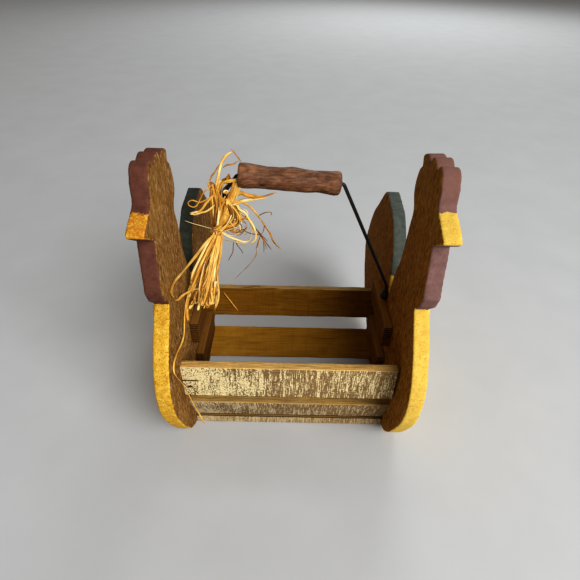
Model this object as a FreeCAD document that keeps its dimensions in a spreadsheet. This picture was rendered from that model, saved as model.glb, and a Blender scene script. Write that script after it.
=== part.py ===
import FreeCAD, Part
import math
import os

# Country-style rooster basket: two rooster-shaped end boards joined by thin
# wooden slats that make a small open trough, with a black wire bail, a turned
# wooden grip and a raffia bow tied to the bail's left arm.
# Millimetres. +X runs from the left board to the right one, the roosters face
# -Y, and Z = 0 is the surface that the two boards stand on.

V = FreeCAD.Vector
X_AXIS = V(1, 0, 0)
Z_AXIS = V(0, 0, 1)
SIDES = (("left", -1), ("right", 1))

os.makedirs("parts", exist_ok=True)
doc = FreeCAD.newDocument("rooster_basket")

# ---------------------------------------------------------------- dimensions

DIMENSIONS = {
    # end boards
    "board_thick": 11.5,
    "inner_width": 166.0,
    "edge_ease": 0.7,
    # slats
    "slat_thick": 7.0,
    "bottom_thick": 10.4,
    "front_upper_wide": 32.6,
    "front_upper_gap": 2.0,
    "front_lower_wide": 32.5,
    "back_upper_wide": 31.0,
    "back_lower_wide": 30.5,
    "bottom_wide": 29.0,
    # cleats on the inner faces of the boards
    "cleat_thick": 7.0,
    "upper_cleat_tall": 21.5,
    "upper_cleat_long": 66.0,
    "lower_cleat_tall": 24.0,
    "lower_cleat_long": 57.0,
    # nails
    "nail_radius": 0.8,
    "nail_head_radius": 1.5,
    "nail_head_thick": 0.9,
    "slat_nail_long": 24.0,
    "cleat_nail_long": 13.0,
    # bail, its pivots and its grip
    "pivot_depth": -10.0,
    "pivot_height": 102.5,
    "wire_radius": 1.35,
    "eye_wire_radius": 1.45,
    "eye_hole_radius": 1.85,
    "eye_side_gap": 0.3,
    "screw_shank_radius": 1.75,
    "screw_head_radius": 3.6,
    "screw_head_tall": 2.4,
    "screw_bite": 9.0,
    "grip_long": 73.0,
    "grip_end_radius": 8.6,
    "grip_waist_radius": 8.0,
    "grip_bore_radius": 1.44,
    "grip_tilt": 3.8,
    "grip_mid_x": -2.6,
    "grip_mid_height": 207.0,
    # raffia
    "strand_radius": 0.65,
    "loop_radius": 0.8,
    "wrap_radius": 3.6,
    "wrap_long": 9.6,
    "knot_radius": 4.4,
}

sheet = doc.addObject("Spreadsheet::Sheet", "dimensions")
for row, (word, size) in enumerate(DIMENSIONS.items(), start=1):
    sheet.set(f"A{row}", word)
    sheet.set(f"B{row}", str(size))
    sheet.setAlias(f"B{row}", word)
doc.recompute()


def dim(word):
    """A driving dimension, read back from the sheet."""
    return float(sheet.get(word))


def bind(obj, **expressions):
    """Binds properties such as Length or Placement.Base.x to sheet cells.

    A double underscore in a keyword stands for the dot of a nested property,
    and @word in an expression for the sheet's cell of that name."""
    for prop, expression in expressions.items():
        obj.setExpression(prop.replace("__", "."), expression.replace("@", "dimensions."))


HALF_INNER = dim("inner_width") / 2
PIVOT_Y = dim("pivot_depth")
PIVOT_Z = dim("pivot_height")
nodes = []


def finish(obj, name):
    """Gives a sub-part the label that names its file."""
    obj.Label = name
    nodes.append(obj)
    return obj


# ------------------------------------------------------------ shared helpers


def origin_plane(body, role):
    return next(f for f in body.Origin.OriginFeatures if f.Role == role)


def sketch_on(body, role, name):
    sketch = body.newObject("Sketcher::SketchObject", name)
    sketch.AttachmentSupport = [(origin_plane(body, role), "")]
    sketch.MapMode = "FlatFace"
    return sketch


def close_with(sketch, stretches, start):
    """Draws a closed outline: each stretch is ("line" or "curve", its further points)."""
    here = V(*start, 0)
    for kind, points in stretches:
        points = [V(*point, 0) for point in points]
        if kind == "curve":
            curve = Part.BSplineCurve()
            curve.interpolate([here] + points)
            sketch.addGeometry(curve, False)
        else:
            for a, b in zip([here] + points, points):
                sketch.addGeometry(Part.LineSegment(a, b), False)
        here = points[-1]


def drilled(base, tools, name):
    """A wooden piece with the holes that its fasteners fill."""
    cut = doc.addObject("Part::Cut", name)
    cut.Base = base
    cut.Tool = tools
    return finish(cut, name)


def rounded_path(points, radii):
    """Straight runs joined by tangent arcs, as one wire, with each arc's radius."""
    edges = []
    here = points[0]
    for before, corner, after, radius in zip(points, points[1:], points[2:], radii):
        into = (corner - before).normalize()
        out = (after - corner).normalize()
        half_turn = into.getAngle(out) / 2
        reach = radius * math.tan(half_turn)
        first = corner - into * reach
        last = corner + out * reach
        inward = (out - into).normalize()
        middle = corner + inward * (radius / math.cos(half_turn) - radius)
        edges.append(Part.LineSegment(here, first).toShape())
        edges.append(Part.Arc(first, middle, last).toShape())
        here = last
    edges.append(Part.LineSegment(here, points[-1]).toShape())
    return Part.Wire(edges)


def cord_radii(points):
    """The largest arc that each corner's two runs leave room for."""
    radii = []
    for before, corner, after in zip(points, points[1:], points[2:]):
        run = min((corner - before).Length, (after - corner).Length)
        half_turn = (corner - before).getAngle(after - corner) / 2
        radii.append(0.45 * run / math.tan(half_turn))
    return radii


def tube(path, radius):
    """A round solid along a path, closed at both ends."""
    start = path.Edges[0]
    heading = start.tangentAt(start.FirstParameter)
    ring = Part.Wire(Part.makeCircle(radius, start.valueAt(start.FirstParameter), heading))
    return path.makePipeShell([ring], True, True)


def feature(name, shape):
    """A sub-part that only Part's own functions can make."""
    obj = doc.addObject("Part::Feature", name)
    obj.Shape = shape
    return finish(obj, name)


# ------------------------------------------------------------------- fasteners


def nail_shape(head_at, heading, long, head_radius):
    """One nail whose head's outer face is at head_at, driven along heading."""
    shank = Part.makeCylinder(dim("nail_radius"), long, head_at, heading)
    head = Part.makeCylinder(head_radius, dim("nail_head_thick"), head_at, heading)
    return shank.fuse(head).removeSplitter()


# Each slat: its centre and lean in the Y-Z plane (degrees from upright, the top
# going back), and the names of its width and thickness.
SLATS = {
    "front_slat_upper": (-84.5, 75.4, 0.0, "front_upper_wide", "slat_thick"),
    "front_slat_lower": (-72.8, 28.2, -20.7, "front_lower_wide", "slat_thick"),
    "back_slat_upper": (23.7, 65.1, 7.4, "back_upper_wide", "slat_thick"),
    "back_slat_lower": (15.8, 16.2, 49.0, "back_lower_wide", "slat_thick"),
    "bottom_slat_front": (-56.5, 5.6, 90.0, "bottom_wide", "bottom_thick"),
    "bottom_slat_back": (-23.5, 5.6, 90.0, "bottom_wide", "bottom_thick"),
}
# The upper front slat's right end stops short of the board.
SHORT_SLAT = "front_slat_upper"
NAILS_FROM_MIDDLE = 0.3

UPPER_CLEAT = {"front": -46.5, "bottom": 75.5}
LOWER_CLEAT = {"front": -42.0, "bottom": 34.0}
CLEATS = {"upper": UPPER_CLEAT, "lower": LOWER_CLEAT}
CLEAT_NAIL_INSET = 9.0


def slat_nails(side):
    """Two nails through the board into each slat's end."""
    outer_face = side * (HALF_INNER + dim("board_thick"))
    nails = []
    for y, z, lean, width, _ in SLATS.values():
        reach = dim(width) * NAILS_FROM_MIDDLE
        along = V(0, math.sin(math.radians(lean)), math.cos(math.radians(lean)))
        for step in (-reach, reach):
            head_at = V(outer_face, y, z) + along * step
            nails.append(
                nail_shape(head_at, X_AXIS * -side, dim("slat_nail_long"), dim("nail_head_radius"))
            )
    return nails


def cleat_nails(side):
    """Two brads through each cleat into the board."""
    inner_face = side * (HALF_INNER - dim("cleat_thick"))
    nails = []
    for level, cleat in CLEATS.items():
        height = cleat["bottom"] + dim(f"{level}_cleat_tall") / 2
        back = cleat["front"] + dim(f"{level}_cleat_long")
        for y in (cleat["front"] + CLEAT_NAIL_INSET, back - CLEAT_NAIL_INSET):
            nails.append(
                nail_shape(
                    V(inner_face, y, height),
                    X_AXIS * side,
                    dim("cleat_nail_long"),
                    dim("nail_head_radius"),
                )
            )
    return nails


fastener_groups = {}
for side_name, side in SIDES:
    fastener_groups[side_name] = {
        "slat": feature(f"slat_nails_{side_name}", Part.makeCompound(slat_nails(side))),
        "cleat": feature(f"cleat_nails_{side_name}", Part.makeCompound(cleat_nails(side))),
    }


def pivot_screw(side_name, side):
    """Round-head screw that the bail's eye turns on, made along +X from under its head."""
    body = doc.addObject("PartDesign::Body", f"pivot_screw_{side_name}_body")
    profile = sketch_on(body, "XY_Plane", f"screw_profile_{side_name}")
    shank = dim("screw_shank_radius")
    head = dim("screw_head_radius")
    tall = dim("screw_head_tall")
    length = eye_stand_off() + dim("screw_bite")
    tip = 2.5
    rim = 0.7
    corners = [(length, 0), (length - tip, shank), (0, shank), (0, head), (-rim, head)]
    for a, b in zip(corners, corners[1:]):
        profile.addGeometry(Part.LineSegment(V(*a, 0), V(*b, 0)), False)
    dome = Part.Arc(V(-rim, head, 0), V(-0.82 * tall, 0.62 * head, 0), V(-tall, 0, 0))
    profile.addGeometry(dome, False)
    profile.addGeometry(Part.LineSegment(V(-tall, 0, 0), V(length, 0, 0)), False)
    turned = body.newObject("PartDesign::Revolution", f"screw_turned_{side_name}")
    turned.Profile = profile
    turned.ReferenceAxis = (profile, ["H_Axis"])
    turned.Angle = 360
    doc.recompute()
    slot = sketch_on(body, "XY_Plane", f"screw_slot_{side_name}")
    slot_deep = 1.1
    outside = -tall - 1
    floor = -tall + slot_deep
    slot_corners = [(floor, -head), (floor, head), (outside, head), (outside, -head)]
    close_with(slot, [("line", slot_corners)], (outside, -head))
    cut = body.newObject("PartDesign::Pocket", f"screw_driver_slot_{side_name}")
    cut.Profile = slot
    cut.Midplane = True
    cut.Length = 0.9
    body.Tip = cut
    facing = FreeCAD.Rotation(Z_AXIS, 0 if side > 0 else 180)
    under_head = V(side * (HALF_INNER - eye_stand_off()), PIVOT_Y, PIVOT_Z)
    body.Placement = FreeCAD.Placement(under_head, facing)
    return finish(body, f"pivot_screw_{side_name}")


def eye_stand_off():
    """From the board's inner face to the underside of the screw's head."""
    return 2 * dim("eye_wire_radius") + 2 * dim("eye_side_gap")


screws = {side_name: pivot_screw(side_name, side) for side_name, side in SIDES}

# ------------------------------------------------------------------ end boards

# The rooster's outline in (Y, Z), from the front of its flat base, up over the
# breast, wattle, beak and comb, down the neck and round the tail.
OUTLINE_START = (-69.0, 0.0)
BELLY = [(-76, 2.9), (-83, 8.5), (-97, 29.5), (-110.5, 58), (-115, 77)]
BREAST = [(-111, 103), (-97, 126), (-80.5, 147)]
NECK = [(-24.4, 214), (-26.5, 204.5), (-33.2, 197), (-32, 186), (-30, 168)]
SADDLE = [(-26, 148), (-18.6, 129), (-15.6, 112)]
TAIL_BACK = [(59, 166), (66, 159), (75, 149), (98, 124), (109.5, 102), (115, 83.5)]
OUTLINE = [
    ("curve", BELLY + BREAST),
    ("line", [(-88.5, 155), (-92.5, 164.5)]),
    ("curve", [(-90, 173), (-88, 183), (-84, 199)]),
    ("line", [(-98.5, 208.6)]),
    ("curve", [(-99.4, 210.6), (-97.5, 212.3)]),
    ("line", [(-82, 219.5)]),
    ("curve", [(-78.3, 222.5), (-77.4, 227.5), (-74.5, 235)]),
    ("curve", [(-71.5, 240.5), (-67.5, 242), (-64, 240.4)]),
    ("line", [(-62.4, 236.6)]),
    ("curve", [(-57.5, 240.3), (-53, 241.6), (-48.5, 240)]),
    ("line", [(-46.4, 235.6)]),
    ("curve", [(-42, 238.4), (-36, 238), (-30.3, 234.6)]),
    ("line", [(-32.6, 228.3), (-28.4, 225.4)]),
    ("curve", NECK + SADDLE),
    ("curve", [(-14.6, 109.1), (-12.4, 108.8), (-10.9, 112)]),
    ("curve", [(-7.7, 127), (-1, 143.5), (8, 155), (17, 162), (25, 165.5)]),
    ("line", [(52, 169.5)]),
    ("curve", TAIL_BACK),
    ("curve", [(109.4, 64), (98.8, 50), (84.5, 35), (60, 21.8), (36, 9.4)]),
    ("line", [(18, 0), OUTLINE_START]),
]


def rooster_board(side_name, side):
    body = doc.addObject("PartDesign::Body", f"rooster_{side_name}_blank")
    outline = sketch_on(body, "YZ_Plane", f"outline_{side_name}")
    close_with(outline, OUTLINE, OUTLINE_START)
    pad = body.newObject("PartDesign::Pad", f"board_{side_name}")
    pad.Profile = outline
    bind(pad, Length="@board_thick")
    doc.recompute()
    faces = enumerate(pad.Shape.Faces, start=1)
    big_faces = [f"Face{i}" for i, face in faces if abs(face.normalAt(0, 0).x) > 0.99]
    eased = body.newObject("PartDesign::Chamfer", f"eased_{side_name}")
    eased.Base = (pad, big_faces)
    bind(eased, Size="@edge_ease")
    body.Tip = eased
    if side > 0:
        bind(body, Placement__Base__x="@inner_width / 2")
    else:
        bind(body, Placement__Base__x="-@inner_width / 2 - @board_thick")
    groups = fastener_groups[side_name]
    tools = doc.addObject("Part::Compound", f"board_holes_{side_name}")
    tools.Links = [groups["slat"], groups["cleat"], screws[side_name]]
    return drilled(body, tools, f"rooster_{side_name}")


for side_name, side in SIDES:
    rooster_board(side_name, side)

# ----------------------------------------------------------------------- slats

all_slat_nails = doc.addObject("Part::Compound", "all_slat_nails")
all_slat_nails.Links = [fastener_groups[side_name]["slat"] for side_name, _ in SIDES]


def slat(name, y, z, lean, width, thick):
    """A flat slat between the two roosters, nailed at both ends."""
    blank = doc.addObject("Part::Box", f"{name}_blank")
    long = "@inner_width - @front_upper_gap" if name == SHORT_SLAT else "@inner_width"
    bind(blank, Length=long, Width=f"@{thick}", Height=f"@{width}")
    turn = FreeCAD.Rotation(X_AXIS, -lean)
    low_corner = V(-HALF_INNER, y, z) + turn.multVec(V(0, -dim(thick) / 2, -dim(width) / 2))
    blank.Placement = FreeCAD.Placement(low_corner, turn)
    return drilled(blank, all_slat_nails, name)


for name, size_and_place in SLATS.items():
    slat(name, *size_and_place)

# ---------------------------------------------------------------------- cleats


def cleat(level, side_name, side):
    """A flat strip of wood nailed along a rooster's inner face."""
    blank = doc.addObject("Part::Box", f"{level}_cleat_{side_name}_blank")
    bind(
        blank,
        Length="@cleat_thick",
        Width=f"@{level}_cleat_long",
        Height=f"@{level}_cleat_tall",
    )
    blank.Placement.Base = V(0, CLEATS[level]["front"], CLEATS[level]["bottom"])
    if side > 0:
        bind(blank, Placement__Base__x="@inner_width / 2 - @cleat_thick")
    else:
        bind(blank, Placement__Base__x="-@inner_width / 2")
    return drilled(blank, fastener_groups[side_name]["cleat"], f"end_cleat_{level}_{side_name}")


for level in CLEATS:
    for side_name, side in SIDES:
        cleat(level, side_name, side)

# ------------------------------------------------------------------------ bail

EYE_X = HALF_INNER - dim("eye_side_gap") - dim("eye_wire_radius")
EYE_RING = dim("eye_hole_radius") + dim("eye_wire_radius")
GRIP_MIDDLE = V(dim("grip_mid_x"), PIVOT_Y, dim("grip_mid_height"))
GRIP_TILT = math.radians(dim("grip_tilt"))
GRIP_ALONG = V(math.cos(GRIP_TILT), 0, -math.sin(GRIP_TILT))
WIRE_PAST_GRIP = 2.2


def wire_corners():
    """Where the wire bends: up from the left eye, through the grip, down to the right eye."""
    past_end = dim("grip_long") / 2 + WIRE_PAST_GRIP
    eye_top = PIVOT_Z + EYE_RING
    arm_foot = PIVOT_Z + 10
    return [
        V(-EYE_X, PIVOT_Y, eye_top),
        V(-EYE_X, PIVOT_Y, arm_foot),
        V(-50.5, PIVOT_Y, 197),
        GRIP_MIDDLE - GRIP_ALONG * past_end,
        GRIP_MIDDLE + GRIP_ALONG * past_end,
        V(EYE_X, PIVOT_Y, arm_foot),
        V(EYE_X, PIVOT_Y, eye_top),
    ]


WIRE = wire_corners()
WIRE_BENDS = [8, 10, 3.2, 3.2, 8]


def bail_wire():
    path = doc.addObject("Part::Feature", "bail_wire_path")
    path.Shape = rounded_path(WIRE, WIRE_BENDS)
    section = doc.addObject("Part::Circle", "bail_wire_section")
    bind(section, Radius="@wire_radius")
    section.Placement.Base = WIRE[0]
    swept = doc.addObject("Part::Sweep", "bail_wire_swept")
    swept.Sections = [section]
    swept.Spine = (path, [f"Edge{i}" for i in range(1, len(path.Shape.Edges) + 1)])
    swept.Solid = True
    eyes = []
    for side_name, side in SIDES:
        eye = doc.addObject("Part::Torus", f"bail_eye_{side_name}")
        bind(eye, Radius1="@eye_hole_radius + @eye_wire_radius", Radius2="@eye_wire_radius")
        eye.Placement = FreeCAD.Placement(
            V(side * EYE_X, PIVOT_Y, PIVOT_Z), FreeCAD.Rotation(Z_AXIS, X_AXIS)
        )
        eyes.append(eye)
    joined = doc.addObject("Part::MultiFuse", "bail_wire")
    joined.Shapes = [swept] + eyes
    return finish(joined, "bail_wire")


def bail_grip():
    """Whittled wooden grip, turned about +X and laid along the bail's top."""
    body = doc.addObject("PartDesign::Body", "bail_grip_turned")
    profile = sketch_on(body, "XY_Plane", "grip_profile")
    half = dim("grip_long") / 2
    bore = dim("grip_bore_radius")
    end = dim("grip_end_radius")
    waist = dim("grip_waist_radius")
    rounding = 1.6
    close_with(
        profile,
        [
            ("line", [(-half, end - rounding)]),
            ("curve", [(-half + 0.45 * rounding, end - 0.35 * rounding), (-half + rounding, end)]),
            ("curve", [(-0.55 * half, waist + 0.1), (-0.1 * half, waist + 0.5), (0.5 * half, waist)]),
            ("curve", [(0.8 * half, waist + 0.2), (half - rounding, end)]),
            ("curve", [(half - 0.45 * rounding, end - 0.35 * rounding), (half, end - rounding)]),
            ("line", [(half, bore), (-half, bore)]),
        ],
        (-half, bore),
    )
    turned = body.newObject("PartDesign::Revolution", "grip_revolved")
    turned.Profile = profile
    turned.ReferenceAxis = (profile, ["H_Axis"])
    turned.Angle = 360
    body.Tip = turned
    body.Placement = FreeCAD.Placement(GRIP_MIDDLE, FreeCAD.Rotation(X_AXIS, GRIP_ALONG))
    return finish(body, "bail_grip")


bail_wire()
bail_grip()

# ---------------------------------------------------------------------- raffia

KNOT = V(-58.5, -15.8, 168)


def raffia_wrap():
    """Turns of raffia wound tightly on the bail's left arm, just under the grip."""
    low, high = WIRE[2], WIRE[3]
    along = (high - low).normalize()
    first = low + along * 2.0
    outer = Part.makeCone(0.8 * dim("wrap_radius"), dim("wrap_radius"), dim("wrap_long"), first, along)
    bore = Part.makeCylinder(dim("wire_radius"), dim("wrap_long"), first, along)
    return feature("raffia_wrap", outer.cut(bore))


def raffia_knot():
    """The knot of the bow and the neck of strands that comes down to it from the wrap."""
    top = V(-50, -15, 199)
    neck = Part.makeCone(3.0, 3.3, (top - KNOT).Length, KNOT, top - KNOT)
    knot = Part.makeSphere(dim("knot_radius"), KNOT)
    return feature("raffia_knot", knot.fuse(neck).removeSplitter())


def ring_wire(middle, heading, wide, deep):
    """An ellipse as a wire, its long axis level, square to a heading."""
    level = heading.cross(Z_AXIS).normalize()
    ellipse = Part.Ellipse(middle + level * wide, middle + heading.cross(level).normalize() * deep, middle)
    return Part.Wire(ellipse.toShape())


def raffia_tassel():
    """The bundle of cut ends that hangs forward from the knot."""
    top = KNOT + V(-1.5, -3.2, -4.2)
    foot = V(-66.5, -48, 122)
    heading = (foot - top).normalize()
    sizes = ((0.0, 3.0, 2.6), (0.45, 6.4, 4.6), (1.0, 9.0, 6.2))
    rings = [ring_wire(top + (foot - top) * t, heading, wide, deep) for t, wide, deep in sizes]
    return feature("raffia_tassel", Part.makeLoft(rings, True, False))


def raffia_bow():
    """The loops that stand out to the right of the knot."""
    wide, deep, tall = 13.0, 4.2, 18.5
    ball = Part.makeSphere(1.0)
    stretch = FreeCAD.Matrix()
    stretch.scale(wide, deep, tall)
    bow = ball.transformGeometry(stretch)
    bow.translate(V(-41, -15, 172.5))
    return feature("raffia_bow", bow)


SIDE_LOOP = [
    V(-59.5, -19, 166), V(-68.5, -36, 161.5), V(-75.5, -53, 158), V(-80, -66, 157), V(-81.6, -77, 155.5),
    V(-81.6, -81, 149.5), V(-81.2, -74, 141.5), V(-80.4, -64, 136.5), V(-78, -55, 134), V(-72, -47, 131),
    V(-67, -43, 130),
]  # fmt: skip

LONG_STRAND = [
    V(-60.5, -20.5, 163.5), V(-68, -31, 150), V(-76.5, -41.5, 137), V(-80.8, -52, 125), V(-81.2, -61.5, 115),
    V(-80.6, -70, 107), V(-81, -80.5, 107), V(-81.4, -92, 110), V(-81.8, -102.5, 108.5),
    V(-81.6, -104, 101.5), V(-80, -98.5, 88.5), V(-78.8, -94.5, 74), V(-76.4, -90.5, 50),
    V(-74.2, -85.5, 28.5), V(-73.3, -83, 15),
]  # fmt: skip


def loose_strand(name, points, radius):
    """A limp strand along straight runs and the arcs that they leave room for."""
    radii = cord_radii(points)
    path = rounded_path(points, radii)
    solid = tube(path, radius)
    expected = math.pi * radius**2 * path.Length
    print(name, "length", round(path.Length, 1), "volume ratio", round(solid.Volume / expected, 4))
    print("  radii", [round(r, 1) for r in radii])
    return feature(name, solid)


raffia_wrap()
raffia_knot()
raffia_tassel()
raffia_bow()
loose_strand("raffia_side_loop", SIDE_LOOP, dim("loop_radius"))
loose_strand("raffia_long_strand", LONG_STRAND, dim("strand_radius"))

# ---------------------------------------------------------------------- output

doc.recompute()
for obj in doc.Objects:
    if "Invalid" in obj.State or "Error" in obj.State:
        raise RuntimeError(f"{obj.Label} did not compute: {obj.State}")
for obj in nodes:
    if obj.Shape.isNull() or not obj.Shape.isValid() or obj.Shape.Volume <= 0:
        raise RuntimeError(f"{obj.Label} has no valid solid")
for obj in nodes:
    obj.Shape.exportStep(f"parts/{obj.Label}.step")
    box = obj.Shape.BoundBox
    print(f"{obj.Label:24s} {len(obj.Shape.Solids):3d} solids  volume {obj.Shape.Volume:10.1f}")
    print("  from", [round(v, 1) for v in (box.XMin, box.YMin, box.ZMin)],
          "to", [round(v, 1) for v in (box.XMax, box.YMax, box.ZMax)])
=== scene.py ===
import math
import random

import bmesh
import bpy
import numpy as np
from mathutils import Matrix, Vector, noise


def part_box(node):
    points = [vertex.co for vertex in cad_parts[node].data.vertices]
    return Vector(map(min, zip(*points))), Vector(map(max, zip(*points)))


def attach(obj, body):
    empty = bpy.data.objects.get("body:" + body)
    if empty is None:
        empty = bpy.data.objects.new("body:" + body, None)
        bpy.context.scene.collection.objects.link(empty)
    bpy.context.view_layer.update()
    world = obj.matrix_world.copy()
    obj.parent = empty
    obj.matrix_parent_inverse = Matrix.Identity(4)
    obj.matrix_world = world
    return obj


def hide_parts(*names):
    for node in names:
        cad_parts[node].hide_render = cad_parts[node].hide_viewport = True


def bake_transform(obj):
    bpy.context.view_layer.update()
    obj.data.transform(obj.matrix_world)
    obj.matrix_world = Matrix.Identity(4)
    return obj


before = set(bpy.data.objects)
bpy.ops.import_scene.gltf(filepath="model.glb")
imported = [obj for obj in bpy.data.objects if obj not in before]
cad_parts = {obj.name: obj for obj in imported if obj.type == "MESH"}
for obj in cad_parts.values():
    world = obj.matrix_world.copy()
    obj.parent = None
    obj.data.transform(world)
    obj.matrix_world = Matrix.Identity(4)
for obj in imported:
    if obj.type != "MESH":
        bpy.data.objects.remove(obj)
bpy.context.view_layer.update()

# Lengths are in millimetres where nothing else is said, and MM turns them into metres.
# Colours are linear RGB. Where a finish has several, they run from dark to light.
MM = 0.001


def mm(x, y, z):
    """A point given in millimetres, in the frame's metres."""
    return Vector((x, y, z)) * MM


# -------- camera, light, floor

CAMERA_PLACE = (-1.7, -306.5, 338.8)
CAMERA_ANGLES = (-0.05, 38.2, -1.2)  # yaw, pitch below the horizon and roll, in degrees
SENSOR_WIDTH = 36
FOCAL_LENGTH = 27.03
CLIP_START = 10

# Area lights: place, target and sides in metres, power in watts, and colour.
LIGHTS = {
    "window": ((1.02, -1.4, 1.26), (0, 0, 0.08), (1.3, 1.3), 51, (0.98, 0.99, 1.0)),
    "far_floor": ((0.8, 2.8, 1.8), (0.2, 1.8, 0), (1.6, 1.6), 38, (0.96, 0.99, 1.0)),
}
ROOM_COLOUR = (0.92, 0.87, 0.80, 1)
ROOM_STRENGTH = 0.22

FLOOR_REACH = 6000
FLOOR_DROP = 0.2
FLOOR_TONES = ((0.485, 0.49, 0.495), (0.515, 0.52, 0.525))


def make_camera():
    """Looks down into the basket from in front of the roosters' beaks."""
    yaw, pitch, roll = (math.radians(angle) for angle in CAMERA_ANGLES)
    across, along = -math.sin(yaw), math.cos(yaw)
    forward = Vector((across * math.cos(pitch), along * math.cos(pitch), -math.sin(pitch)))
    level = Vector((math.cos(yaw), math.sin(yaw), 0))
    down = forward.cross(level)
    right = level * math.cos(roll) + down * math.sin(roll)
    up = level * math.sin(roll) - down * math.cos(roll)
    data = bpy.data.cameras.new("camera")
    data.sensor_width = SENSOR_WIDTH
    data.lens = FOCAL_LENGTH
    data.clip_start = CLIP_START * MM
    data.dof.use_dof = False
    camera = bpy.data.objects.new("camera", data)
    turn = Matrix((right, up, -forward)).transposed().to_4x4()
    camera.matrix_world = Matrix.Translation(mm(*CAMERA_PLACE)) @ turn
    bpy.context.collection.objects.link(camera)
    bpy.context.scene.camera = camera


def make_lights():
    """A large soft window in front on the right, a lit far floor and a dim warm room."""
    for name, (place, target, sides, power, colour) in LIGHTS.items():
        data = bpy.data.lights.new(name, "AREA")
        data.shape = "RECTANGLE"
        data.size, data.size_y = sides
        data.energy = power
        data.color = colour
        light = bpy.data.objects.new(name, data)
        light.location = place
        aim = Vector(target) - Vector(place)
        light.rotation_euler = aim.to_track_quat("-Z", "Y").to_euler()
        bpy.context.collection.objects.link(light)
    world = bpy.data.worlds.new("world")
    world.use_nodes = True
    sky = world.node_tree.nodes["Background"]
    sky.inputs["Color"].default_value = ROOM_COLOUR
    sky.inputs["Strength"].default_value = ROOM_STRENGTH
    bpy.context.scene.world = world
    bpy.context.scene.view_settings.view_transform = "Standard"
    bpy.context.scene.view_settings.look = "Medium High Contrast"


def make_floor():
    """A plain pale floor, just below the object, with hardly any change of tone."""
    f = Finish("floor", roughness=0.9, specular=0.1)
    f.done(f.ramp(f.noise(0.012, 4, 0.6), (0.3, 0.7), FLOOR_TONES))
    reach = FLOOR_REACH * MM
    corners = [(-reach, -reach, 0), (reach, -reach, 0), (reach, reach, 0), (-reach, reach, 0)]
    mesh = bpy.data.meshes.new("floor")
    mesh.from_pydata(corners, [], [(0, 1, 2, 3)])
    floor = fresh_object("floor", mesh, f.material)
    floor.location.z = -FLOOR_DROP * MM


def fresh_object(name, mesh, material):
    """A new object with this mesh, all of it in one material."""
    mesh.materials.clear()
    mesh.materials.append(material)
    piece = bpy.data.objects.new(name, mesh)
    bpy.context.collection.objects.link(piece)
    return piece


# -------- materials

# A Mix node's two colour inputs and its colour output, by number.
MIX_A, MIX_B, MIX_RESULT = 6, 7, 2


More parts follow.
